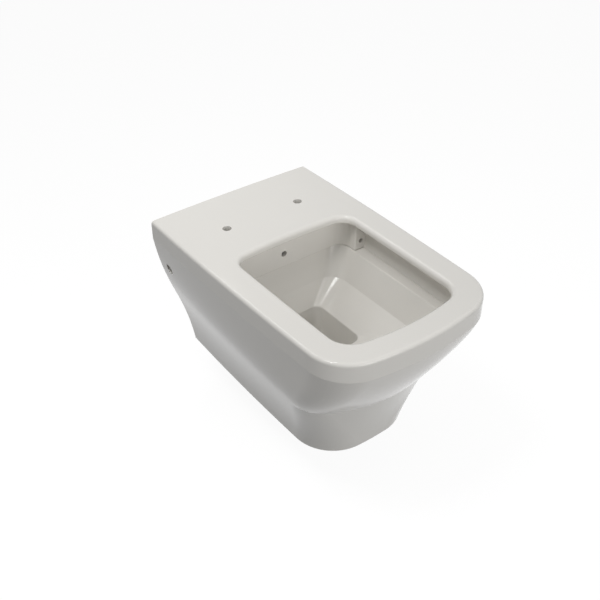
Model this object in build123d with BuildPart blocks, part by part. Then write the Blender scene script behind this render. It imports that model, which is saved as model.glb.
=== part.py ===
"""Wall hung toilet pan with its concealed wall fixings and pipe connections.

Millimetres, +Z up, front towards -Y. The origin is on the finished wall, midway between the two wall studs.
The pan is modelled as the green castings that are stuck together with slip before the firing."""

import math
import os

from build123d import *

# Heights, measured from the line of the wall studs
deck_height = 88.0  # top of the deck's edge
pan_height = 302.0  # deck to underside of the foot
outlet_drop = 100.0  # stud line down to the centre of the outlet
inlet_rise = 35.0  # stud line up to the centre of the flush inlet
band_depth = 35.0  # upright band round the rim
crease_depth = 158.0  # deck down to the crease between bowl and foot
crease_step = 8.0  # height of the step at the crease

# Plan of the rim, at the upright band
rim_half_wall = 171.5  # half width at the wall
rim_half_front = 166.5  # half width where the side meets the front
rim_reach = 540.0  # wall to the front of the rim
rim_front_bow = 26.5
rim_corner = 80.0
side_bow = 4.0  # how far a side bulges between the wall and the front
crown_rise = 2.3  # doming of the deck across its width
deck_edge_fillet = 6.0

# Plan of the body at the crease and of the foot
crease_half_extra = 10.0  # how much wider the front is than the wall end, at the crease
crease_reach = 478.0
crease_setback = 9.0  # how far the foot steps back under the bowl
crease_front_bow = 50.0
crease_corner = 65.0
foot_half_wall = 102.0
foot_half_extra = 5.0
foot_reach = 427.0
foot_front_bow = 10.0
foot_corner = 81.0
foot_edge_fillet = 3.0
side_wave = 0.06  # S shape of the side, as a share of its slope
belly_power = 1.3  # fullness of the front above and below the crease

# Ceramic thicknesses
skirt_wall = 12.0
deck_thickness = 14.0
back_wall = 14.0
foot_floor = 8.0
bowl_wall = 10.0
ledge_thickness = 10.0
sump_wall = 8.0
trap_wall = 8.0

# Opening in the rim
mouth_half_back = 120.5
mouth_half_front = 119.0
mouth_side_bow = 1.0
mouth_back = 184.6  # wall to the back of the opening
mouth_front = 492.6
mouth_back_bow = 5.2
mouth_front_bow = 15.5
mouth_back_corner = 28.0
mouth_front_corner = 41.5
lip_top_fillet = 8.0
lip_under_fillet = 4.0

# Seat hinge holes
hinge_spacing = 155.0
hinge_setback = 102.6  # wall to the hole centres
hinge_hole_radius = 8.0
hinge_hole_fillet = 0.4

# Bowl, from its ledge to its sump: half width, back, front, front bow and corners of each level
ledge_height = 10.5
bowl_half = 133.0
bowl_back = 158.0
bowl_front = 498.0
bowl_front_bow = 22.0
bowl_corner = 30.0
slope_height = -44.0  # where the steep walls turn into the sloping floor
slope_half = 110.0
slope_back = 175.0
slope_front = 457.0
slope_front_bow = 18.0
slope_corner = 34.0
sump_height = -85.0  # where the floor turns into the sump
sump_half = 58.0
sump_back = 193.0
sump_front = 322.0
sump_front_bow = 6.0
sump_corner = 16.0
sump_seam = -115.0  # joint between the bowl casting and the sump casting
well_half = 52.0
well_back = 203.0
well_front = 306.0
well_front_bow = 3.0
well_corner = 14.0
ledge_edge_fillet = 2.5
slope_fillet = 4.0
sump_fillet = 3.0

# Trap and outlet
trap_radius = 24.0
water_seal = 50.0
riser_angle = 60.0
trap_bend_radius = 45.0
riser_setback = 154.0  # wall to the corner where the lower leg turns up
spigot_radius = 51.0
spigot_wall = 7.0
spigot_setback = 6.0  # wall to the end of the spigot
spigot_length = 60.0

# Flush distributor and inlet
box_front = 166.0
box_depth = 38.0
box_wall = 8.0
box_inner_corner = 22.0
box_edge_fillet = 3.0
arm_reach = 204.0  # wall to the front ends of the two arms
arm_inner = 134.0  # centre line to the inner face of an arm
jet_radius = 5.8
jet_height = 38.5
side_jet_radius = 4.3
side_jet_offset = 147.5
side_jet_height = 29.0
feed_radius = 13.0
horn_radius = 36.0
horn_bore_radius = 27.5
horn_bore_depth = 56.0
horn_setback = 4.0

# Openings in the back of the pan
window_half = 64.0
window_drop = 165.0  # stud line to the bottom of the window
window_corner = 30.0
pocket_inner_gap = 2.5  # between the sides of a bracket and of its pocket
pocket_outer_gap = 9.0
pocket_half_height = 20.0
pocket_corner = 8.0

# Wall fixings
stud_spacing = 180.0
stud_radius = 6.0
stud_thread_radius = 5.43  # pitch radius of its thread in front of the wall, where the nut runs
stud_inside = 24.0  # length in front of the wall
stud_outside = 50.0  # length into the wall
stud_end_chamfer = 1.0
stud_hole_clearance = 0.5
washer_radius = 12.0
washer_thickness = 2.5
nut_across_flats = 18.0
nut_height = 10.0
nut_corner_chamfer = 1.2
thread_clearance = 0.05
bracket_thickness = 4.0
bracket_half_height = 14.0
bracket_margin = 14.0  # stud's axis to the inner end of its bracket
arm_gap = 2.0  # between the stud washer and the bracket's arm
bracket_reach = 50.0
bracket_bend = 2.0
boss_radius = 9.0
boss_length = 6.0

# Clamp screw in the side hole
screw_setback = 35.0  # wall to the screw's axis
screw_radius = 4.0
screw_fit = 0.05
screw_tip_past_boss = 2.0
side_hole_radius = 10.5
side_hole_fillet = 0.5
side_pad_radius = 18.0
side_pad_depth = 26.0  # side of the pan to the inner face of the pad round the side hole
bush_length = 7.0
bush_taper = 1.0
bush_taper_length = 4.0
small_washer_radius = 8.0
small_washer_thickness = 1.5
small_washer_clearance = 0.2
screw_head_radius = 6.5
screw_head_height = 4.5
socket_across_flats = 5.0
socket_depth = 2.6

# Pipe connections
flush_pipe_radius = 22.5
flush_pipe_wall = 2.5
flush_pipe_inside = 50.0
flush_pipe_outside = 45.0
flush_stop_height = 2.0  # bead on the pipe that rests against the rubber sleeve
flush_stop_length = 3.0
flush_seal_length = 40.0
flush_seal_flange = 4.0
flush_seal_flange_radius = 33.0
flush_seal_groove = 1.2
socket_radius = 58.0
socket_wall = 3.5
socket_inside = 44.0
socket_outside = 12.0
waste_pipe_radius = 45.0
waste_pipe_wall = 3.0
waste_cone_length = 14.0
socket_bead = 2.5
socket_bead_length = 18.0
waste_pipe_end = 62.0  # wall to the far end of the waste pipe
waste_seal_length = 14.0
waste_seal_setback = 26.0

band_height = deck_height - band_depth
crease_top = deck_height - crease_depth
crease_bottom = crease_top - crease_step
foot_height = deck_height - pan_height
floor_height = foot_height + foot_floor
lip_height = deck_height - deck_thickness
near = 1.0  # how close an edge has to be to a place for it to be picked there


def between(start, end, share):
    return start + (end - start) * share


def eased(share):
    """The share, starting and ending gently."""
    return share * share * (3 - 2 * share)


def middle(edge):
    """Centre of the box round an edge, which for a closed loop is the middle of the loop."""
    return edge.bounding_box().center()


def body_sizes(z):
    """Half width at the wall and at the front, reach, front bow and corner of the body at height z."""
    rise = (z - foot_height) / (band_height - foot_height)
    slope = rise - side_wave * math.sin(2 * math.pi * rise)
    half_wall = between(foot_half_wall, rim_half_wall, slope)
    if z >= crease_top:
        share = (band_height - z) / (band_height - crease_top)
        extra = between(rim_half_front - rim_half_wall, crease_half_extra, eased(share))
        reach = between(rim_reach, crease_reach, share**belly_power)
        bow = between(rim_front_bow, crease_front_bow, share)
        corner = between(rim_corner, crease_corner, share)
    else:
        share = (z - foot_height) / (crease_bottom - foot_height)
        extra = between(foot_half_extra, crease_half_extra, eased(share))
        reach = between(foot_reach, crease_reach - crease_setback, share**belly_power)
        bow = between(foot_front_bow, crease_front_bow, share)
        corner = between(foot_corner, crease_corner, share)
    return half_wall, half_wall + extra, reach, bow, corner


def body_section(z, inset=0.0, back=0.0):
    """Outline of the body at height z, moved inwards by inset and cut off at y = -back."""
    half_wall, half_front, reach, bow, corner = body_sizes(z)
    corner_y = -(reach - bow)
    wall_x = half_wall - inset
    front_x = half_front - inset
    mid_x = (wall_x + front_x) / 2 + side_bow
    with BuildSketch(Plane.XY.offset(z)) as section:
        with BuildLine():
            Line((-wall_x, -back), (wall_x, -back))
            ThreePointArc((wall_x, -back), (mid_x, corner_y / 2), (front_x, corner_y + inset))
            ThreePointArc((front_x, corner_y + inset), (0, inset - reach), (-front_x, corner_y + inset))
            ThreePointArc((-front_x, corner_y + inset), (-mid_x, corner_y / 2), (-wall_x, -back))
        make_face()
        fillet(section.vertices().group_by(Axis.Y)[0], corner - inset)
    return section.sketch


def bowl_section(z, half, back, front, front_bow, corner, grow=0.0):
    """Outline of the bowl at height z, from y = -back to a bowed front at y = -front, grown by grow."""
    side_x = half + grow
    back_y = grow - back
    front_y = -(front + grow)
    corner_y = front_y + front_bow
    with BuildSketch(Plane.XY.offset(z)) as section:
        with BuildLine():
            Polyline((side_x, corner_y), (side_x, back_y), (-side_x, back_y), (-side_x, corner_y))
            ThreePointArc((-side_x, corner_y), (0, front_y), (side_x, corner_y))
        make_face()
        fillet(section.vertices(), corner + grow)
    return section.sketch


def even(start, end):
    """Evenly spaced heights from start to end, for the sections of a loft."""
    span_count = 3
    return [between(start, end, step / span_count) for step in range(span_count + 1)]


def loft_body(low, high, inset=0.0, back=0.0):
    """Add the body from height low to height high to the part, in three lofts round the crease."""
    loft(sections=[body_section(z, inset, back) for z in even(high, crease_top)])
    loft(sections=[body_section(z, inset, back) for z in (crease_top, crease_bottom)])
    loft(sections=[body_section(z, inset, back) for z in even(crease_bottom, low)])


side_at_screw = body_sizes(0)[0]
side_pad_inner = side_at_screw - side_pad_depth

# Distances of the wall fixings from the centre line
stud_offset = stud_spacing / 2
bracket_inner = stud_offset - bracket_margin
arm_inner_x = stud_offset + washer_radius + arm_gap
arm_outer_x = arm_inner_x + bracket_thickness
pocket_inner = bracket_inner - pocket_inner_gap
pocket_outer = arm_outer_x + pocket_outer_gap

# Blanks that several castings are cut from
with BuildPart() as hollow:
    loft_body(floor_height, band_height, skirt_wall, back_wall)
    add(body_section(band_height, skirt_wall, back_wall))
    extrude(amount=lip_height - band_height)

with BuildPart() as back_window:
    with BuildSketch(Plane.XZ) as window_plan:
        with Locations((0, (lip_height - window_drop) / 2)):
            Rectangle(2 * window_half, lip_height + window_drop)
        fillet(window_plan.vertices().group_by(Axis.Z)[0], window_corner)
    extrude(amount=back_wall)

ledge_level = (bowl_half, bowl_back, bowl_front, bowl_front_bow, bowl_corner)
slope_level = (slope_half, slope_back, slope_front, slope_front_bow, slope_corner)
sump_level = (sump_half, sump_back, sump_front, sump_front_bow, sump_corner)
well_level = (well_half, well_back, well_front, well_front_bow, well_corner)

with BuildPart() as bowl_space:
    ledge_mouth = bowl_section(ledge_height, *ledge_level)
    slope_line = bowl_section(slope_height, *slope_level)
    sump_mouth = bowl_section(sump_height, *sump_level)
    loft(sections=[ledge_mouth, slope_line])
    loft(sections=[slope_line, sump_mouth])
    loft(sections=[sump_mouth, bowl_section(floor_height + sump_wall, *well_level)])
    slope_edges = bowl_space.edges().filter_by_position(Axis.Z, slope_height - near, slope_height + near)
    fillet(slope_edges, slope_fillet)
    sump_edges = bowl_space.edges().filter_by_position(Axis.Z, sump_height - near, sump_height + near)
    fillet(sump_edges, sump_fillet)
    fillet(bowl_space.edges().group_by(Axis.Z)[0], well_corner / 2)

with BuildPart() as bowl_blank:
    grown_slope = bowl_section(slope_height - bowl_wall / 2, *slope_level, grow=bowl_wall)
    grown_sump = bowl_section(sump_height - bowl_wall / 2, *sump_level, grow=bowl_wall)
    loft(sections=[bowl_section(ledge_height, *ledge_level, grow=bowl_wall), grown_slope])
    loft(sections=[grown_slope, grown_sump])
    loft(sections=[grown_sump, bowl_section(floor_height, *well_level, grow=sump_wall)])
    add(hollow.part, mode=Mode.INTERSECT)

# Path of the trap's centre line: along the foot, up the riser and over the weir into the spigot
outlet_height = -outlet_drop
trap_floor = floor_height + trap_wall + trap_radius
weir_height = trap_floor + 2 * trap_radius + water_seal
riser_run = (weir_height - trap_floor) / math.tan(math.radians(riser_angle))
spigot_front = spigot_setback + spigot_length
with BuildPart() as trap_bore:
    with BuildLine(Plane.YZ) as trap_line:
        FilletPolyline(
            (-(well_back + well_front) / 2, trap_floor),
            (-riser_setback, trap_floor),
            (riser_run - riser_setback, weir_height),
            (spigot_wall - spigot_front, weir_height),
            radius=trap_bend_radius,
        )
    with BuildSketch(Plane(origin=trap_line.line @ 0, z_dir=trap_line.line % 0)):
        Circle(trap_radius)
    sweep()

# Upper casting: deck, upright band and rolled lip
with BuildPart() as rim_deck:
    dome_half = max(rim_half_wall, rim_half_front) + side_bow
    add(body_section(band_height))
    extrude(amount=deck_height + crown_rise - band_height)
    with BuildSketch(Plane.XZ) as dome_profile:
        with BuildLine():
            Polyline(
                (dome_half, deck_height),
                (dome_half, band_height),
                (-dome_half, band_height),
                (-dome_half, deck_height),
            )
            ThreePointArc((-dome_half, deck_height), (0, deck_height + crown_rise), (dome_half, deck_height))
        make_face()
    extrude(amount=rim_reach, mode=Mode.INTERSECT)
    top_edges = rim_deck.faces().sort_by(Axis.Z)[-1].edges()
    fillet([edge for edge in top_edges if edge.center().Y < -near], deck_edge_fillet)
    add(hollow.part, mode=Mode.SUBTRACT)
    add(back_window.part, mode=Mode.SUBTRACT)
    with BuildSketch(Plane.XY.offset(lip_height)) as mouth_plan:
        back_y = -mouth_back - mouth_back_bow
        front_y = mouth_front_bow - mouth_front
        mid_x = (mouth_half_back + mouth_half_front) / 2 + mouth_side_bow
        mid_y = (back_y + front_y) / 2
        with BuildLine():
            ThreePointArc((mouth_half_back, back_y), (mid_x, mid_y), (mouth_half_front, front_y))
            ThreePointArc((mouth_half_front, front_y), (0, -mouth_front), (-mouth_half_front, front_y))
            ThreePointArc((-mouth_half_front, front_y), (-mid_x, mid_y), (-mouth_half_back, back_y))
            ThreePointArc((-mouth_half_back, back_y), (0, -mouth_back), (mouth_half_back, back_y))
        make_face()
        fillet(mouth_plan.vertices().group_by(Axis.Y)[-1], mouth_back_corner)
        fillet(mouth_plan.vertices().group_by(Axis.Y)[0], mouth_front_corner)
    extrude(amount=deck_thickness + crown_rise, mode=Mode.SUBTRACT)
    mouth_edges = [
        edge
        for edge in rim_deck.edges()
        if abs(edge.center().X) < mouth_half_back + mouth_side_bow + near
        and -mouth_front - near < edge.center().Y < near - mouth_back
        and edge.center().Z > lip_height - near
    ]
    fillet([edge for edge in mouth_edges if edge.center().Z > deck_height - near], lip_top_fillet)
    fillet([edge for edge in mouth_edges if edge.center().Z < lip_height + near], lip_under_fillet)
    with Locations((0, -hinge_setback, deck_height + crown_rise)):
        with GridLocations(hinge_spacing, 0, 2, 1):
            Hole(hinge_hole_radius, depth=deck_thickness + 2 * crown_rise)
    hole_edges = rim_deck.edges().filter_by(lambda edge: abs(middle(edge).Y + hinge_setback) < near)
    fillet(hole_edges.filter_by(lambda edge: middle(edge).Z > deck_height), hinge_hole_fillet)
rim_deck.part.label = "rim_deck"

# Lower casting: sides, front, foot and wall land, with a pocket and a side hole for each bracket
with BuildPart() as outer_skirt:
    loft_body(foot_height, band_height)
    add(hollow.part, mode=Mode.SUBTRACT)
    add(back_window.part, mode=Mode.SUBTRACT)
    pocket_width = pocket_outer - pocket_inner
    with BuildSketch(Plane.XZ):
        with GridLocations(pocket_outer + pocket_inner, 0, 2, 1):
            RectangleRounded(pocket_width, 2 * pocket_half_height, pocket_corner)
    extrude(amount=back_wall, mode=Mode.SUBTRACT)
    for side in (-1, 1):
        with BuildSketch(Plane.YZ.offset(side * side_pad_inner)):
            with Locations((-screw_setback, 0)):
                Circle(side_pad_radius)
        extrude(amount=side * (side_at_screw - skirt_wall / 2 - side_pad_inner))
        with BuildSketch(Plane.YZ.offset(side * side_pad_inner)):
            with Locations((-screw_setback, 0)):
                Circle(side_hole_radius)
        extrude(amount=side * (rim_half_wall + side_bow - side_pad_inner), mode=Mode.SUBTRACT)
        near_screw = outer_skirt.edges().filter_by(
            lambda edge: side * middle(edge).X > side_pad_inner + skirt_wall / 2
            and (middle(edge) - Vector(middle(edge).X, -screw_setback, 0)).length < side_hole_radius / 2
        )
        fillet(near_screw, side_hole_fillet)
    foot_edges = outer_skirt.edges().group_by(Axis.Z)[0]
    fillet([edge for edge in foot_edges if edge.center().Y < -near], foot_edge_fillet)
outer_skirt.part.label = "outer_skirt"

# Bowl casting: ledges, walls, sloping floor and the mouth of the sump
with BuildPart() as bowl_basin:
    add(bowl_blank.part)
    split(bisect_by=Plane.XY.offset(sump_seam), keep=Keep.TOP)
    with BuildSketch(Plane.XY.offset(ledge_height - ledge_thickness)):
        with Locations((0, -(box_front - box_depth))):
            Rectangle(2 * rim_reach, rim_reach, align=(Align.CENTER, Align.MAX))
    extrude(amount=ledge_thickness)
    add(hollow.part, mode=Mode.INTERSECT)
    add(bowl_space.part, mode=Mode.SUBTRACT)
    rim_of_bowl = bowl_basin.faces().filter_by(Axis.Z).sort_by(Axis.Z)[-1].inner_wires()
    fillet(rim_of_bowl.edges(), ledge_edge_fillet)
bowl_basin.part.label = "bowl_basin"

# Sump casting: the well below the bowl, with the way into the trap
with BuildPart() as sump_well:
    add(bowl_blank.part)
    split(bisect_by=Plane.XY.offset(sump_seam), keep=Keep.BOTTOM)
    add(bowl_space.part, mode=Mode.SUBTRACT)
    add(trap_bore.part, mode=Mode.SUBTRACT)
sump_well.part.label = "sump_well"

# Trap casting: the rising leg from the sump to the weir
with BuildPart() as trap_bend:
    with BuildSketch(Plane(origin=trap_line.line @ 0, z_dir=trap_line.line % 0)):
        Circle(trap_radius + trap_wall)
    sweep(path=trap_line.line)
    add(bowl_blank.part, mode=Mode.SUBTRACT)
    add(trap_bore.part, mode=Mode.SUBTRACT)
    split(bisect_by=Plane.XZ.offset(spigot_front), keep=Keep.TOP)
trap_bend.part.label = "trap_bend"

# Outlet casting: a cup that takes the trap and ends in the round spigot
with BuildPart() as outlet_spigot:
    with BuildSketch(Plane(origin=(0, -spigot_setback, outlet_height), z_dir=(0, -1, 0))):
        Circle(spigot_radius)
    extrude(amount=spigot_length)
    with BuildSketch(Plane(origin=(0, -spigot_setback, outlet_height), z_dir=(0, -1, 0))):
        Circle(spigot_radius - spigot_wall)
    extrude(amount=spigot_length - spigot_wall, mode=Mode.SUBTRACT)
    add(trap_bore.part, mode=Mode.SUBTRACT)
outlet_spigot.part.label = "outlet_spigot"

# Flush casting: a water box behind the bowl, with two arms that reach along the ledges
with BuildPart() as flush_distributor:
    box_back = box_front - box_depth
    with BuildSketch(Plane.XY.offset(ledge_height)) as box_plan:
        with BuildLine():
            Polyline(
                (-arm_inner, -box_front),
                (-arm_inner, -arm_reach),
                (-rim_half_wall, -arm_reach),
                (-rim_half_wall, -box_back),
                (rim_half_wall, -box_back),
                (rim_half_wall, -arm_reach),
                (arm_inner, -arm_reach),
                (arm_inner, -box_front),
                close=True,
            )
        make_face()
        inner_corners = [
            corner
            for corner in box_plan.vertices()
            if abs(corner.Y + box_front) < near and abs(abs(corner.X) - arm_inner) < near
        ]
        fillet(inner_corners, box_inner_corner)
    extrude(amount=lip_height - ledge_height)
    arm_corners = flush_distributor.edges().filter_by(Axis.Z).filter_by(
        lambda edge: abs(edge.center().Y + arm_reach) < near and abs(edge.center().X) < arm_inner + near
    )
    fillet(arm_corners, box_edge_fillet)
    front_edges = flush_distributor.edges().group_by(Axis.Z)[0].filter_by(
        lambda edge: abs(edge.center().X) < arm_inner + box_edge_fillet and edge.center().Y < -box_back - near
    )
    fillet(front_edges, box_edge_fillet)
    add(hollow.part, mode=Mode.INTERSECT)
    with BuildSketch(Plane.XY.offset(ledge_height + box_wall)):
        with Locations((0, -(box_front + box_back) / 2)):
            Rectangle(2 * (side_jet_offset + side_jet_radius), box_depth - 2 * box_wall)
    extrude(amount=lip_height - ledge_height - 2 * box_wall, mode=Mode.SUBTRACT)
    with BuildSketch(Plane.XZ.offset(box_front - box_depth / 2)):
        with Locations((0, jet_height)):
            Circle(jet_radius)
    extrude(amount=box_depth / 2, mode=Mode.SUBTRACT)
    with BuildSketch(Plane.XZ.offset(box_front - box_depth / 2)):
        with Locations((0, side_jet_height)):
            with GridLocations(2 * side_jet_offset, 0, 2, 1):
                Circle(side_jet_radius)
    extrude(amount=arm_reach - box_front + box_depth / 2, mode=Mode.SUBTRACT)
    with BuildSketch(Plane.XZ.offset(box_back)):
        with Locations((0, inlet_rise)):
            Circle(feed_radius)
    extrude(amount=box_depth / 2, mode=Mode.SUBTRACT)
flush_distributor.part.label = "flush_distributor"

# Inlet casting: the socket for the flush pipe
inlet_plane = Plane(origin=(0, 0, inlet_rise), z_dir=(0, -1, 0))
with BuildPart() as inlet_horn:
    with BuildSketch(inlet_plane.offset(horn_setback)):
        Circle(horn_radius)
    extrude(amount=box_back - horn_setback)
    with BuildSketch(inlet_plane.offset(horn_setback)):
        Circle(horn_bore_radius)
    extrude(amount=horn_bore_depth, mode=Mode.SUBTRACT)
    with BuildSketch(inlet_plane.offset(horn_setback)):
        Circle(feed_radius)
    extrude(amount=box_back - horn_setback, mode=Mode.SUBTRACT)
inlet_horn.part.label = "inlet_horn"

# Flush pipe end and the rubber sleeve that seals it in the horn
with BuildPart() as flush_pipe:
    with BuildSketch(inlet_plane.offset(-flush_pipe_outside)):
        Circle(flush_pipe_radius)
        Circle(flush_pipe_radius - flush_pipe_wall, mode=Mode.SUBTRACT)
    extrude(amount=flush_pipe_inside + flush_pipe_outside)
    chamfer(flush_pipe.edges().group_by(Axis.Y)[0].sort_by(SortBy.RADIUS)[-1], flush_pipe_wall / 2)
    with BuildSketch(inlet_plane.offset(horn_setback - flush_seal_flange)):
        Circle(flush_pipe_radius + flush_stop_height)
        Circle(flush_pipe_radius, mode=Mode.SUBTRACT)
    extrude(amount=-flush_stop_length)
flush_pipe.part.label = "flush_pipe"

with BuildPart() as flush_seal:
    with BuildSketch(inlet_plane.offset(horn_setback)):
        Circle(horn_bore_radius)
        Circle(flush_pipe_radius, mode=Mode.SUBTRACT)
    extrude(amount=flush_seal_length)
    with BuildSketch(inlet_plane.offset(horn_setback)):
        Circle(flush_seal_flange_radius)
        Circle(flush_pipe_radius, mode=Mode.SUBTRACT)
    extrude(amount=-flush_seal_flange)
    groove_count = 4
    for step in range(1, groove_count):
        groove_at = horn_setback + flush_seal_length * step / groove_count
        with BuildSketch(inlet_plane.offset(groove_at - flush_seal_groove)):
            Circle(horn_bore_radius)
            Circle(horn_bore_radius - flush_seal_groove, mode=Mode.SUBTRACT)
        extrude(amount=2 * flush_seal_groove, mode=Mode.SUBTRACT)
flush_seal.part.label = "flush_seal"

# Waste connector: a socket over the spigot that narrows to the waste pipe, with its lip ring
outlet_plane = Plane(origin=(0, 0, outlet_height), z_dir=(0, 1, 0))
with BuildPart() as waste_connector:
    socket_bore = socket_radius - socket_wall
    waste_bore = waste_pipe_radius - waste_pipe_wall
    cone_end = socket_outside + waste_cone_length
    bead_end = socket_bead_length - socket_inside
    with BuildSketch(Plane.YZ) as connector_profile:
        with BuildLine():
            Polyline(
                (-socket_inside, outlet_height + socket_bore),
                (-socket_inside, outlet_height + socket_radius + socket_bead),
                (bead_end, outlet_height + socket_radius + socket_bead),
                (bead_end + socket_bead, outlet_height + socket_radius),
                (socket_outside, outlet_height + socket_radius),
                (cone_end, outlet_height + waste_pipe_radius),
                (waste_pipe_end, outlet_height + waste_pipe_radius),
                (waste_pipe_end, outlet_height + waste_bore),
                (cone_end, outlet_height + waste_bore),
                (socket_outside, outlet_height + socket_bore),
                close=True,
            )
        make_face()
    revolve(axis=Axis((0, 0, outlet_height), (0, 1, 0)))
waste_connector.part.label = "waste_connector"

with BuildPart() as waste_seal:
    with BuildSketch(outlet_plane.offset(-waste_seal_setback)):
        Circle(socket_bore)
        Circle(spigot_radius, mode=Mode.SUBTRACT)
    extrude(amount=waste_seal_length)
waste_seal.part.label = "waste_seal"

pieces = [
    rim_deck,
    outer_skirt,
    bowl_basin,
    sump_well,
    trap_bend,
    outlet_spigot,
    flush_distributor,
    inlet_horn,
    flush_pipe,
    flush_seal,
    waste_connector,
    waste_seal,
]

# Wall fixings and clamp screws, left and right
washer_front = bracket_thickness + washer_thickness
bush_start = side_pad_inner
washer_start = bush_start + bush_length
head_start = washer_start + small_washer_thickness
tip_start = arm_inner_x - boss_length - screw_tip_past_boss
for name, side in (("left", -1), ("right", 1)):
    stud_plane = Plane(origin=(side * stud_offset, 0, 0), z_dir=(0, -1, 0))
    screw_plane = Plane(origin=(0, -screw_setback, 0), z_dir=(side, 0, 0))

    with BuildPart() as wall_stud:
        with BuildSketch(stud_plane.offset(-stud_outside)):
            Circle(stud_radius)
        extrude(amount=stud_outside)
        with BuildSketch(stud_plane):
            Circle(stud_thread_radius)
        extrude(amount=stud_inside)
        stud_ends = wall_stud.edges().filter_by(GeomType.CIRCLE).sort_by(Axis.Y)
        chamfer([stud_ends[0], stud_ends[-1]], stud_end_chamfer)
    wall_stud.part.label = f"{name}_wall_stud"

    with BuildPart() as wall_bracket:
        with BuildSketch() as angle:
            with BuildLine():
                Polyline(
                    (side * bracket_inner, 0),
                    (side * arm_outer_x, 0),
                    (side * arm_outer_x, -bracket_reach),
                    (side * arm_inner_x, -bracket_reach),
                    (side * arm_inner_x, -bracket_thickness),
                    (side * bracket_inner, -bracket_thickness),
                    close=True,
                )
            make_face()
        extrude(amount=bracket_half_height, both=True)
        upright = wall_bracket.edges().filter_by(Axis.Z)
        fillet(upright.sort_by(lambda edge: abs(edge.center().X)).group_by(Axis.Y)[-1][-1:], bracket_bend)
        with BuildSketch(screw_plane.offset(arm_inner_x - boss_length)):
            Circle(boss_radius)
        extrude(amount=boss_length)
        with BuildSketch(screw_plane.offset(arm_inner_x - boss_length)):
            Circle(screw_radius + screw_fit)
        extrude(amount=boss_length + bracket_thickness, mode=Mode.SUBTRACT)
        with BuildSketch(stud_plane):
            Circle(stud_radius + stud_hole_clearance)
        extrude(amount=bracket_thickness, mode=Mode.SUBTRACT)
    wall_bracket.part.label = f"{name}_wall_bracket"

    with BuildPart() as stud_washer:
        with BuildSketch(stud_plane.offset(bracket_thickness)):
            Circle(washer_radius)
            Circle(stud_radius + stud_hole_clearance, mode=Mode.SUBTRACT)
        extrude(amount=washer_thickness)
    stud_washer.part.label = f"{name}_stud_washer"

    with BuildPart() as stud_nut:
        with BuildSketch(stud_plane.offset(washer_front)):
            Circle(nut_across_flats / math.sqrt(3))
        extrude(amount=nut_height)
        chamfer(stud_nut.edges().filter_by(GeomType.CIRCLE), nut_corner_chamfer)
        with BuildSketch(stud_plane.offset(washer_front)):
            RegularPolygon(nut_across_flats / 2, 6, major_radius=False)
        extrude(amount=nut_height, mode=Mode.INTERSECT)
        with BuildSketch(stud_plane.offset(washer_front)):
            Circle(stud_thread_radius + thread_clearance)
        extrude(amount=nut_height, mode=Mode.SUBTRACT)
    stud_nut.part.label = f"{name}_stud_nut"

    with BuildPart() as screw_bush:
        with BuildSketch(screw_plane.offset(bush_start)):
            Circle(side_hole_radius - bush_taper)
        with BuildSketch(screw_plane.offset(bush_start + bush_taper_length)):
            Circle(side_hole_radius)
        loft()
        with BuildSketch(screw_plane.offset(bush_start + bush_taper_length)):
            Circle(side_hole_radius)
        extrude(amount=bush_length - bush_taper_length)
        with BuildSketch(screw_plane.offset(bush_start)):
            Circle(screw_radius + small_washer_clearance)
        extrude(amount=bush_length, mode=Mode.SUBTRACT)
    screw_bush.part.label = f"{name}_screw_bush"

    with BuildPart() as screw_washer:
        with BuildSketch(screw_plane.offset(washer_start)):
            Circle(small_washer_radius)
            Circle(screw_radius + screw_fit, mode=Mode.SUBTRACT)
        extrude(amount=small_washer_thickness)
    screw_washer.part.label = f"{name}_screw_washer"

    with BuildPart() as clamp_screw:
        with BuildSketch(screw_plane.offset(tip_start)):
            Circle(screw_radius)
        extrude(amount=head_start - tip_start)
        with BuildSketch(screw_plane.offset(head_start)):
            Circle(screw_head_radius)
        extrude(amount=screw_head_height)
        head_edges = clamp_screw.edges().sort_by(lambda edge: abs(edge.center().X))
        fillet(head_edges[-1], screw_head_height / 4)
        chamfer(head_edges[0], screw_radius / 4)
        with BuildSketch(screw_plane.offset(head_start + screw_head_height - socket_depth)):
            RegularPolygon(socket_across_flats / 2, 6, major_radius=False)
        extrude(amount=socket_depth, mode=Mode.SUBTRACT)
    clamp_screw.part.label = f"{name}_clamp_screw"

    pieces += [wall_stud, wall_bracket, stud_washer, stud_nut, screw_bush, screw_washer, clamp_screw]

os.makedirs("parts", exist_ok=True)
for piece in pieces:
    export_step(piece.part, f"parts/{piece.part.label}.step")
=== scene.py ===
"""Glazes the wall hung toilet pan, cuts the threads of its fixings and sets up the studio."""

import math

import bpy
from bpy.props import FloatProperty, FloatVectorProperty, IntProperty, PointerProperty
from mathutils import Matrix, Vector


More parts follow.
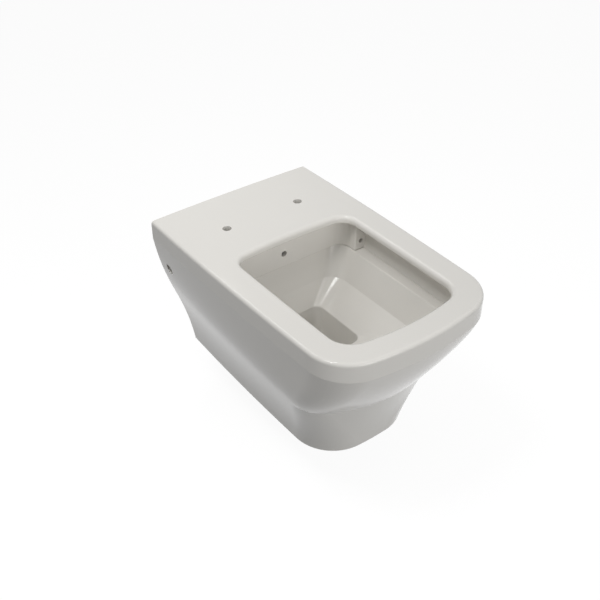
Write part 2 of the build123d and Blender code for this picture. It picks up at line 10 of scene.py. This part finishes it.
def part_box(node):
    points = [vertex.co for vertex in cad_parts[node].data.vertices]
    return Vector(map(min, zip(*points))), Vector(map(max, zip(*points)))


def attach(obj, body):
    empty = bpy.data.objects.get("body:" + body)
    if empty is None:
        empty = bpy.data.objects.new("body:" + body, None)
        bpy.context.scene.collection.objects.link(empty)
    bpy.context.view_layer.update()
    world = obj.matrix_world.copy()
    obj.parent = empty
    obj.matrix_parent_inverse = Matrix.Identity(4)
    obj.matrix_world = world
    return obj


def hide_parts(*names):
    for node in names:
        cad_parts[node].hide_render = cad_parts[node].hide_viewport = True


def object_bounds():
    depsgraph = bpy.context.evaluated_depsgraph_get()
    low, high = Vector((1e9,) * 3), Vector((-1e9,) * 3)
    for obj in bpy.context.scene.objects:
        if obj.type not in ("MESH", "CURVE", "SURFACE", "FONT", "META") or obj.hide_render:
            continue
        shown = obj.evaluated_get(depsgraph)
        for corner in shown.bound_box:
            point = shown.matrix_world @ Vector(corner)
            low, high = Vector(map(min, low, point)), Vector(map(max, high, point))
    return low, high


bl_info = {
    "name": "Wall hung toilet pan",
    "version": (1, 0, 0),
    "blender": (4, 5, 0),
    "location": "3D View > Sidebar > Toilet pan",
    "description": "Glazes a wall hung toilet pan and details its fixings and pipe ends",
    "category": "Object",
}

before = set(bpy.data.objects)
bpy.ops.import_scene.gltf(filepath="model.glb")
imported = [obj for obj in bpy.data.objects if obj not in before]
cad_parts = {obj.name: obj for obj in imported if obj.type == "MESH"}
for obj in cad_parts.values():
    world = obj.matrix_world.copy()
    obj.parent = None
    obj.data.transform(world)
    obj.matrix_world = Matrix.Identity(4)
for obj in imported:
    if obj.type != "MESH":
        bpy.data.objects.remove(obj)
cad_low, cad_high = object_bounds()

CASTINGS = (
    "rim_deck",
    "outer_skirt",
    "bowl_basin",
    "sump_well",
    "trap_bend",
    "outlet_spigot",
    "flush_distributor",
    "inlet_horn",
)
SIDES = ("left", "right")
STEEL_PARTS = ("wall_bracket", "stud_washer", "stud_nut", "screw_washer")

WHITE = (1.0, 1.0, 1.0, 1.0)
STRAW = (0.66, 0.63, 0.54, 1.0)
FLOOR_GREY = (0.14, 0.14, 0.14, 1.0)
FLOOR_GLOW = 0.92

GLAZE_IOR = 1.5
# A real glaze has about 0.5. Less of it holds down the floor's reflection on the undercut sides.
GLAZE_SPECULAR = 0.3
BARE_ROUGHNESS = 0.75

# Half the width of a thread's crest, as a share of its pitch.
THREAD_CREST = 0.1
SCREW_RADIUS = 0.004
# From the axis of the hexagon socket to one of its flats.
SOCKET_HALF_WIDTH = 0.0025
SOCKET_DEPTH = 0.0026

MERGE_DISTANCE = 0.000005
WINDING_MERGE_DISTANCE = 0.000002
CUT_THRESHOLD = 1e-7
CUT_TOLERANCE = 1e-6

SENSOR_WIDTH = 36.0
# Each lamp's name, place from the middle of the pan, side in metres and the setting of its power.
LAMPS = (
    ("key_lamp", (-0.8, -0.1, 1.8), 0.5, "key_power"),
    ("front_lamp", (0.0, -2.2, 0.8), 1.4, "front_power"),
    ("rear_lamp", (0.0, 0.5, 0.9), 0.5, "rear_power"),
)


class Channel:
    """A node's output. Arithmetic on it adds Math nodes to its material."""

    def __init__(self, finish, output):
        self.finish = finish
        self.output = output

    def math(self, operation, first, second=0.0):
        return self.finish.node("ShaderNodeMath", {"operation": operation}, {0: first, 1: second})

    def __add__(self, other):
        return self.math("ADD", self, other)

    def __sub__(self, other):
        return self.math("SUBTRACT", self, other)

    def __mul__(self, other):
        return self.math("MULTIPLY", self, other)

    def __gt__(self, other):
        return self.math("GREATER_THAN", self, other)

    __radd__ = __add__
    __rmul__ = __mul__

    def __rsub__(self, other):
        return self.math("SUBTRACT", other, self)


class Finish:
    """One material or world being put together from nodes."""

    def __init__(self, owner):
        owner.use_nodes = True
        self.owner = owner
        self.tree = owner.node_tree
        self.tree.nodes.clear()

    def feed(self, socket, value):
        if isinstance(value, Channel):
            self.tree.links.new(value.output, socket)
        else:
            socket.default_value = value

    def node(self, kind, settings=None, inputs=None, output=0):
        """Add a node, set it up, fill its sockets with values or links, and return one output."""
        made = self.tree.nodes.new(kind)
        for name, value in (settings or {}).items():
            setattr(made, name, value)
        for name, value in (inputs or {}).items():
            self.feed(made.inputs[name], value)
        return Channel(self, made.outputs[output]) if made.outputs else None

    def noise(self, size, detail=2.0, roughness=0.5, stretch=(1.0, 1.0, 1.0)):
        """Soft random pattern whose patches are about size metres across."""
        place = self.node("ShaderNodeTexCoord", output="Object")
        placed = self.node("ShaderNodeMapping", None, {"Vector": place, "Scale": stretch})
        inputs = {"Vector": placed, "Scale": 1.0 / size, "Detail": detail, "Roughness": roughness}
        return self.node("ShaderNodeTexNoise", None, inputs)

    def ramp(self, value, low, high):
        """0 below low, 1 above high."""
        inputs = {"Value": value, "From Min": low, "From Max": high}
        return self.node("ShaderNodeMapRange", {"clamp": True}, inputs)

    def blend(self, share, first, second):
        """Mix two colours."""
        settings = {"data_type": "RGBA"}
        return self.node("ShaderNodeMix", settings, {0: share, 6: first, 7: second}, output=2)

    def bump(self, height, depth, below=None):
        """Normal of a surface raised by height, a 0 to 1 channel, times depth in metres."""
        inputs = {"Height": height, "Distance": depth, "Strength": 1.0}
        if below is not None:
            inputs["Normal"] = below
        return self.node("ShaderNodeBump", None, inputs)

    def surface(self, **sockets):
        """Close the material with a Principled shader."""
        inputs = {name.replace("_", " ").title(): value for name, value in sockets.items()}
        inputs = {name.replace("Ior", "IOR"): value for name, value in inputs.items()}
        shader = self.node("ShaderNodeBsdfPrincipled", None, inputs)
        self.node("ShaderNodeOutputMaterial", None, {"Surface": shader})
        return self.owner


def opaque(colour):
    return (*colour, 1.0)


def tinted(colour, share):
    """The colour made darker or lighter by a share."""
    return tuple(min(1.0, part * share) for part in colour) + (1.0,)


def glaze_finish(settings):
    """Clear gloss glaze over warm white china, bare and matt where the pan meets the wall."""
    finish = Finish(bpy.data.materials.new("glazed_china"))
    place = finish.node("ShaderNodeTexCoord", output="Object")
    y = finish.node("ShaderNodeSeparateXYZ", None, {"Vector": place}, output=1)
    colour = settings.glaze_colour
    cloud = finish.noise(settings.cloud_size)
    glazed = finish.blend(cloud, tinted(colour, 0.985), tinted(colour, 1.01))
    grain = finish.noise(settings.grain_size, detail=4.0)
    raw = finish.blend(grain, tinted(settings.raw_colour, 0.9), tinted(settings.raw_colour, 1.05))
    bare = finish.ramp(y, -settings.bare_depth, -0.5 * settings.bare_depth)
    ripple = finish.noise(settings.ripple_size, detail=1.0)
    fine = finish.noise(settings.ripple_size / 6, detail=1.0)
    waves = finish.bump(ripple, settings.ripple_height)
    skin = finish.bump(fine, settings.ripple_height / 8, below=waves)
    gloss = settings.glaze_roughness
    return finish.surface(
        base_color=finish.blend(bare, glazed, raw),
        roughness=gloss + 0.03 * cloud + bare * (BARE_ROUGHNESS - gloss),
        normal=skin,
        ior=GLAZE_IOR,
        specular_ior_level=GLAZE_SPECULAR,
    )


def steel_finish(settings):
    """Bright zinc plating with a faint bluish and straw cast."""
    finish = Finish(bpy.data.materials.new("zinc_steel"))
    cast = finish.noise(0.012, detail=3.0)
    scuff = finish.noise(0.0012, detail=3.0, stretch=(1.0, 1.0, 4.0))
    return finish.surface(
        base_color=finish.blend(cast, opaque(settings.steel_colour), STRAW),
        roughness=0.24 + 0.16 * scuff,
        metallic=1.0,
        normal=finish.bump(scuff, 0.00001),
    )


def plastic_finish(name, colour, roughness, grain_size, grain_height):
    """Moulded plastic or rubber with a fine grain."""
    finish = Finish(bpy.data.materials.new(name))
    grain = finish.noise(grain_size, detail=3.0)
    cloud = finish.noise(0.03)
    return finish.surface(
        base_color=finish.blend(cloud, tinted(colour, 0.85), tinted(colour, 1.2)),
        roughness=roughness + 0.12 * (grain - 0.5) + 0.06 * (cloud - 0.5),
        normal=finish.bump(grain, grain_height),
    )


def dress(piece, material):
    """Give a piece one material in place of what it has."""
    piece.data.materials.clear()
    piece.data.materials.append(material)


def take_up(piece):
    """Select one object alone and make it the active one."""
    bpy.ops.object.select_all(action="DESELECT")
    piece.select_set(True)
    bpy.context.view_layer.objects.active = piece


def finish_modifier(piece, kind, **settings):
    """Add a modifier to a piece and apply it."""
    take_up(piece)
    modifier = piece.modifiers.new(kind.title(), kind)
    for name, value in settings.items():
        setattr(modifier, name, value)
    bpy.ops.object.modifier_apply(modifier=modifier.name)


def settle(piece):
    """Move a piece's place, turn and size into its mesh."""
    take_up(piece)
    bpy.ops.object.transform_apply(location=True, rotation=True, scale=True)


def tidy_mesh(piece, angle=math.radians(35)):
    """Merge doubles, turn faces outwards and smooth all but the sharp edges."""
    take_up(piece)
    bpy.ops.object.mode_set(mode="EDIT")
    bpy.ops.mesh.select_all(action="SELECT")
    bpy.ops.mesh.remove_doubles(threshold=MERGE_DISTANCE)
    bpy.ops.mesh.normals_make_consistent(inside=False)
    bpy.ops.object.mode_set(mode="OBJECT")
    bpy.ops.object.shade_smooth_by_angle(angle=angle)


def draw_line(name, points):
    """A new mesh with one open line, drawn from point to point by extruding its last vertex."""
    bpy.ops.object.select_all(action="DESELECT")
    bpy.ops.mesh.primitive_plane_add(size=0.001)
    piece = bpy.context.active_object
    piece.name = name
    piece.data.name = name
    bpy.ops.object.mode_set(mode="EDIT")
    bpy.ops.mesh.merge(type="CENTER")
    bpy.ops.transform.translate(value=points[0])
    for start, end in zip(points, points[1:]):
        step = Vector(end) - Vector(start)
        bpy.ops.mesh.extrude_region_move(TRANSFORM_OT_translate={"value": tuple(step)})
    bpy.ops.object.mode_set(mode="OBJECT")
    return piece


def wound_thread(name, radius, pitch, length, settings):
    """A threaded rod along +X from the origin: one V wound by a Screw modifier and cut square."""
    crest = THREAD_CREST * pitch
    root = radius - settings.thread_depth_share * pitch
    chamfer = radius / 6
    profile = [
        (-pitch, 0, root),
        (-0.5 * pitch - crest, 0, radius),
        (-0.5 * pitch + crest, 0, radius),
        (0, 0, root),
    ]
    piece = draw_line(name, profile)
    turns = math.ceil(length / pitch) + 2
    finish_modifier(
        piece,
        "SCREW",
        axis="X",
        angle=2 * math.pi,
        screw_offset=pitch,
        iterations=turns,
        steps=settings.thread_steps,
        render_steps=settings.thread_steps,
        use_merge_vertices=True,
        merge_threshold=WINDING_MERGE_DISTANCE,
    )
    tidy_mesh(piece)
    for spot, inside in ((0.0, chamfer), (length, length - chamfer)):
        cut_thread_end(piece, spot, inside, (radius - chamfer) / radius)
    tidy_mesh(piece, angle=math.radians(20))
    return piece


def cut_thread_end(piece, spot, inside, taper):
    """Cut a thread square at x = spot and taper it from x = inside to there."""
    low_end = inside > spot
    bpy.ops.object.mode_set(mode="EDIT")
    for plane, whole in ((spot, True), (inside, False)):
        bpy.ops.mesh.select_all(action="SELECT")
        bpy.ops.mesh.bisect(
            plane_co=(plane, 0, 0),
            plane_no=(1, 0, 0),
            use_fill=whole,
            clear_inner=whole and low_end,
            clear_outer=whole and not low_end,
            threshold=CUT_THRESHOLD,
        )
    bpy.ops.mesh.select_all(action="DESELECT")
    bpy.ops.object.mode_set(mode="OBJECT")
    for vertex in piece.data.vertices:
        vertex.select = abs(vertex.co.x - spot) < CUT_TOLERANCE
    bpy.ops.object.mode_set(mode="EDIT")
    bpy.ops.transform.resize(value=(1, taper, taper), center_override=(spot, 0, 0))
    bpy.ops.object.mode_set(mode="OBJECT")


def rod_blank(name, radius, start, end, vertices=64):
    """A plain cylinder along +X, from x = start to x = end."""
    bpy.ops.object.select_all(action="DESELECT")
    bpy.ops.mesh.primitive_cylinder_add(
        vertices=vertices,
        radius=radius,
        depth=end - start,
        location=((start + end) / 2, 0, 0),
        rotation=(0, math.pi / 2, 0),
    )
    piece = bpy.context.active_object
    piece.name = name
    piece.data.name = name
    settle(piece)
    return piece


def cut_with(piece, tool):
    """Cut a piece with a tool, which is used up."""
    finish_modifier(piece, "BOOLEAN", operation="DIFFERENCE", solver="EXACT", object=tool)
    bpy.data.objects.remove(tool)


def place(piece, turn, spot):
    """Turn a piece about the vertical, move it, and settle it into its mesh."""
    piece.matrix_world = Matrix.Translation(spot) @ Matrix.Rotation(turn, 4, "Z")
    settle(piece)


def twin(piece, name):
    """A copy with its own mesh."""
    copy = piece.copy()
    copy.data = piece.data.copy()
    copy.name = name
    copy.data.name = name
    bpy.context.collection.objects.link(copy)
    return copy


def hand_over(piece, body, node):
    """Let a finished piece ride on its body in the place of its CAD node."""
    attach(piece, body)
    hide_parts(node)


class PanGlaze(bpy.types.PropertyGroup):
    """Colours and textures of the fired china."""

    glaze_colour: FloatVectorProperty(
        name="Glaze colour",
        description="Colour of the glazed china",
        subtype="COLOR",
        default=(0.80, 0.782, 0.742),
    )
    raw_colour: FloatVectorProperty(
        name="Raw colour",
        description="Colour of unglazed china",
        subtype="COLOR",
        default=(0.72, 0.68, 0.61),
    )
    glaze_roughness: FloatProperty(
        name="Glaze roughness",
        description="How blurred reflections in the glaze are",
        default=0.09,
        min=0,
        max=1,
    )
    cloud_size: FloatProperty(
        name="Cloud size",
        description="Size of the faint colour patches",
        default=0.12,
        unit="LENGTH",
    )
    grain_size: FloatProperty(
        name="Grain size",
        description="Size of the grain of unglazed china",
        default=0.0008,
        unit="LENGTH",
    )
    ripple_size: FloatProperty(
        name="Ripple size",
        description="Length of the waves in the glaze",
        default=0.06,
        unit="LENGTH",
    )
    ripple_height: FloatProperty(
        name="Ripple height",
        description="Height of the waves in the glaze",
        default=0.0002,
        unit="LENGTH",
    )
    bare_depth: FloatProperty(
        name="Bare depth",
        description="How far from the wall the china is unglazed",
        default=0.0006,
        unit="LENGTH",
    )


class PanFixings(bpy.types.PropertyGroup):
    """Threads and finishes of the fixings."""

    steel_colour: FloatVectorProperty(
        name="Steel colour",
        description="Colour of the zinc plating",
        subtype="COLOR",
        default=(0.62, 0.63, 0.65),
    )
    stud_pitch: FloatProperty(
        name="Stud pitch",
        description="Pitch of the wall studs' thread",
        default=0.00175,
        unit="LENGTH",
    )
    screw_pitch: FloatProperty(
        name="Screw pitch",
        description="Pitch of the clamp screws' thread",
        default=0.00125,
        unit="LENGTH",
    )
    thread_depth_share: FloatProperty(
        name="Thread depth",
        description="Depth of a thread as a share of its pitch",
        default=0.56,
        min=0,
        max=1,
    )
    thread_steps: IntProperty(
        name="Thread steps",
        description="Steps in one turn of a thread",
        default=32,
        min=8,
    )


class PanPipes(bpy.types.PropertyGroup):
    """Colours of the pipes, seals and bushes."""

    pipe_colour: FloatVectorProperty(
        name="Pipe colour",
        description="Colour of the pipes",
        subtype="COLOR",
        default=(0.028, 0.028, 0.03),
    )
    rubber_colour: FloatVectorProperty(
        name="Rubber colour",
        description="Colour of the seals",
        subtype="COLOR",
        default=(0.014, 0.014, 0.015),
    )
    nylon_colour: FloatVectorProperty(
        name="Nylon colour",
        description="Colour of the bushes",
        subtype="COLOR",
        default=(0.06, 0.055, 0.05),
    )


class PanStudio(bpy.types.PropertyGroup):
    """Camera, floor and lamps."""

    camera_spot: FloatVectorProperty(
        name="Camera",
        description="Where the camera stands",
        subtype="XYZ",
        default=(-0.7971, -1.2710, 0.9546),
    )
    camera_tilt: FloatProperty(
        name="Tilt",
        description="Camera's turn up from straight down",
        subtype="ANGLE",
        default=math.radians(53.2),
    )
    camera_heading: FloatProperty(
        name="Heading",
        description="Camera's turn about the vertical",
        subtype="ANGLE",
        default=math.radians(-37),
    )
    lens: FloatProperty(
        name="Lens",
        description="Focal length on a 36 mm sensor, in mm",
        default=55.0,
    )
    floor_height: FloatProperty(
        name="Floor height",
        description="Height of the floor, from the line of the wall studs",
        default=-0.32,
        unit="LENGTH",
    )
    floor_size: FloatProperty(
        name="Floor size",
        description="Side of the floor",
        default=12.0,
        unit="LENGTH",
    )
    ambient: FloatProperty(
        name="Ambient",
        description="Strength of the light from all round",
        default=0.26,
    )
    key_power: FloatProperty(
        name="Key power",
        description="Power of the lamp overhead in watts",
        default=12.6,
    )
    front_power: FloatProperty(
        name="Front power",
        description="Power of the lamp in front in watts",
        default=19.5,
    )
    rear_power: FloatProperty(
        name="Rear power",
        description="Power of the lamp over the deck in watts",
        default=2.0,
    )


class PAN_OT_glaze_castings(bpy.types.Operator):
    """Give the fired castings their glaze"""

    bl_idname = "pan.glaze_castings"
    bl_label = "Glaze the castings"

    def execute(self, context):
        china = glaze_finish(context.scene.pan_glaze)
        for name in CASTINGS:
            dress(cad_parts[name], china)
        return {"FINISHED"}


class PAN_OT_fixings(bpy.types.Operator):
    """Finish the steel fixings and cut the threads of the studs and screws"""

    bl_idname = "pan.fixings"
    bl_label = "Finish the fixings"

    def execute(self, context):
        settings = context.scene.pan_fixings
        steel = steel_finish(settings)
        nylon = plastic_finish(
            "nylon",
            context.scene.pan_pipes.nylon_colour,
            roughness=0.45,
            grain_size=0.0006,
            grain_height=0.00001,
        )
        for side in SIDES:
            for part in STEEL_PARTS:
                dress(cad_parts[f"{side}_{part}"], steel)
            dress(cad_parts[f"{side}_screw_bush"], nylon)
        self.studs(settings, steel)
        self.screws(settings, steel)
        return {"FINISHED"}

    def studs(self, settings, steel):
        low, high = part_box("right_wall_stud")
        radius = (high.x - low.x) / 2
        length = high.y - low.y
        rod = wound_thread("right_threaded_stud", radius, settings.stud_pitch, length, settings)
        dress(rod, steel)
        other = twin(rod, "left_threaded_stud")
        for piece, side in ((rod, "right"), (other, "left")):
            low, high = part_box(f"{side}_wall_stud")
            place(piece, math.pi / 2, ((low.x + high.x) / 2, low.y, 0))
            hand_over(piece, "pan", f"{side}_wall_stud")

    def screws(self, settings, steel):
        low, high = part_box("right_clamp_screw")
        _, washer_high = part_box("right_screw_washer")
        head_radius = (high.y - low.y) / 2
        shank = washer_high.x - low.x
        head = high.x - washer_high.x
        screw = wound_thread(
            "right_threaded_screw", SCREW_RADIUS, settings.screw_pitch, shank, settings
        )
        cap = rod_blank("screw_cap", head_radius, 0, head)
        for edge in cap.data.edges:
            edge.select = False
        for face in cap.data.polygons:
            face.select = face.normal.x > 0.9
        take_up(cap)
        bpy.ops.object.mode_set(mode="EDIT")
        bpy.ops.mesh.bevel(offset=head / 4, offset_type="OFFSET", segments=4, affect="EDGES")
        bpy.ops.object.mode_set(mode="OBJECT")
        place(cap, 0, (shank, 0, 0))
        socket_radius = SOCKET_HALF_WIDTH / math.cos(math.pi / 6)
        socket = rod_blank(
            "socket_cutter", socket_radius, head - SOCKET_DEPTH, 2 * head, vertices=6
        )
        place(socket, 0, (shank, 0, 0))
        cut_with(cap, socket)
        bpy.ops.object.select_all(action="DESELECT")
        cap.select_set(True)
        screw.select_set(True)
        bpy.context.view_layer.objects.active = screw
        bpy.ops.object.join()
        tidy_mesh(screw, angle=math.radians(25))
        dress(screw, steel)
        other = twin(screw, "left_threaded_screw")
        for piece, side, turn in ((screw, "right", 0), (other, "left", math.pi)):
            low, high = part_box(f"{side}_clamp_screw")
            tip = low.x if side == "right" else high.x
            place(piece, turn, (tip, (low.y + high.y) / 2, (low.z + high.z) / 2))
            hand_over(piece, f"{side}_screw", f"{side}_clamp_screw")


class PAN_OT_pipes(bpy.types.Operator):
    """Finish the pipe ends and the rubber seals"""

    bl_idname = "pan.pipes"
    bl_label = "Finish the pipes"

    def execute(self, context):
        settings = context.scene.pan_pipes
        plastic = plastic_finish(
            "pipe_plastic",
            settings.pipe_colour,
            roughness=0.34,
            grain_size=0.0009,
            grain_height=0.00002,
        )
        rubber = plastic_finish(
            "seal_rubber",
            settings.rubber_colour,
            roughness=0.62,
            grain_size=0.0005,
            grain_height=0.00002,
        )
        for name in ("flush_pipe", "waste_connector"):
            dress(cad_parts[name], plastic)
        for name in ("flush_seal", "waste_seal"):
            dress(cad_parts[name], rubber)
        return {"FINISHED"}


def floor_finish():
    """Pale floor that is white to the camera and in reflections, and keeps the object's shadow."""
    finish = Finish(bpy.data.materials.new("studio_floor"))
    plain = finish.node("ShaderNodeBsdfDiffuse", None, {"Color": FLOOR_GREY})
    glow = finish.node("ShaderNodeEmission", None, {"Color": WHITE, "Strength": FLOOR_GLOW})
    lifted = finish.node("ShaderNodeAddShader", None, {0: plain, 1: glow})
    seen = seen_directly(finish)
    shown = finish.node("ShaderNodeMixShader", None, {0: seen, 1: plain, 2: lifted})
    finish.node("ShaderNodeOutputMaterial", None, {"Surface": shown})
    return finish.owner


def seen_directly(finish):
    """1 for a ray from the camera, from a reflection or through glass."""
    camera = finish.node("ShaderNodeLightPath", output="Is Camera Ray")
    glossy = finish.node("ShaderNodeLightPath", output="Is Glossy Ray")
    through = finish.node("ShaderNodeLightPath", output="Is Transmission Ray")
    return (camera + glossy + through) > 0.5


def studio_sky(ambient):
    """Even light from all round that shows as white."""
    world = bpy.data.worlds.new("studio_sky")
    bpy.context.scene.world = world
    finish = Finish(world)
    soft = finish.node("ShaderNodeBackground", None, {"Color": WHITE, "Strength": ambient})
    white = finish.node("ShaderNodeBackground", None, {"Color": WHITE, "Strength": 1.0})
    shown = finish.node("ShaderNodeMixShader", None, {0: seen_directly(finish), 1: soft, 2: white})
    finish.node("ShaderNodeOutputWorld", None, {"Surface": shown})


def soft_lamp(name, spot, target, size, power):
    """A square lamp at spot, turned towards target."""
    aim = (Vector(target) - Vector(spot)).to_track_quat("-Z", "Y").to_euler()
    bpy.ops.object.select_all(action="DESELECT")
    bpy.ops.object.light_add(type="AREA", location=spot, rotation=aim)
    lamp = bpy.context.active_object
    lamp.name = name
    lamp.data.name = name
    lamp.data.size = size
    lamp.data.energy = power


class PAN_OT_studio(bpy.types.Operator):
    """Set up the camera, the floor, the sky and the lamps"""

    bl_idname = "pan.studio"
    bl_label = "Set up the studio"

    def execute(self, context):
        settings = context.scene.pan_studio
        bpy.ops.object.select_all(action="DESELECT")
        turn = (settings.camera_tilt, 0, settings.camera_heading)
        bpy.ops.object.camera_add(location=settings.camera_spot, rotation=turn)
        camera = bpy.context.active_object
        camera.name = "studio_camera"
        camera.data.sensor_width = SENSOR_WIDTH
        camera.data.lens = settings.lens
        context.scene.camera = camera
        bpy.ops.object.select_all(action="DESELECT")
        floor_spot = (0, 0, settings.floor_height)
        bpy.ops.mesh.primitive_plane_add(size=settings.floor_size, location=floor_spot)
        floor = bpy.context.active_object
        floor.name = "studio_floor"
        settle(floor)
        dress(floor, floor_finish())
        studio_sky(settings.ambient)
        middle = (cad_low + cad_high) / 2
        for name, offset, size, power in LAMPS:
            soft_lamp(name, middle + Vector(offset), middle, size, getattr(settings, power))
        context.scene.view_settings.view_transform = "Standard"
        return {"FINISHED"}


class PAN_PT_panel(bpy.types.Panel):
    """Sizes, colours and steps of the toilet pan"""

    bl_label = "Toilet pan"
    bl_idname = "PAN_PT_panel"
    bl_space_type = "VIEW_3D"
    bl_region_type = "UI"
    bl_category = "Toilet pan"

    def draw(self, context):
        for group, operators in STEPS:
            box = self.layout.box()
            settings = getattr(context.scene, group)
            for name in settings.__annotations__:
                box.prop(settings, name)
            for operator in operators:
                box.operator(operator.bl_idname)


GROUPS = (
    ("pan_glaze", PanGlaze),
    ("pan_fixings", PanFixings),
    ("pan_pipes", PanPipes),
    ("pan_studio", PanStudio),
)
STEPS = (
    ("pan_glaze", (PAN_OT_glaze_castings,)),
    ("pan_fixings", (PAN_OT_fixings,)),
    ("pan_pipes", (PAN_OT_pipes,)),
    ("pan_studio", (PAN_OT_studio,)),
)


def register():
    for name, group in GROUPS:
        bpy.utils.register_class(group)
        setattr(bpy.types.Scene, name, PointerProperty(type=group))
    for _, operators in STEPS:
        for operator in operators:
            bpy.utils.register_class(operator)
    bpy.utils.register_class(PAN_PT_panel)


def unregister():
    bpy.utils.unregister_class(PAN_PT_panel)
    for _, operators in reversed(STEPS):
        for operator in reversed(operators):
            bpy.utils.unregister_class(operator)
    for name, group in reversed(GROUPS):
        delattr(bpy.types.Scene, name)
        bpy.utils.unregister_class(group)


def main():
    register()
    bpy.ops.pan.glaze_castings()
    bpy.ops.pan.fixings()
    bpy.ops.pan.pipes()
    bpy.ops.pan.studio()


if __name__ == "__main__":
    main()
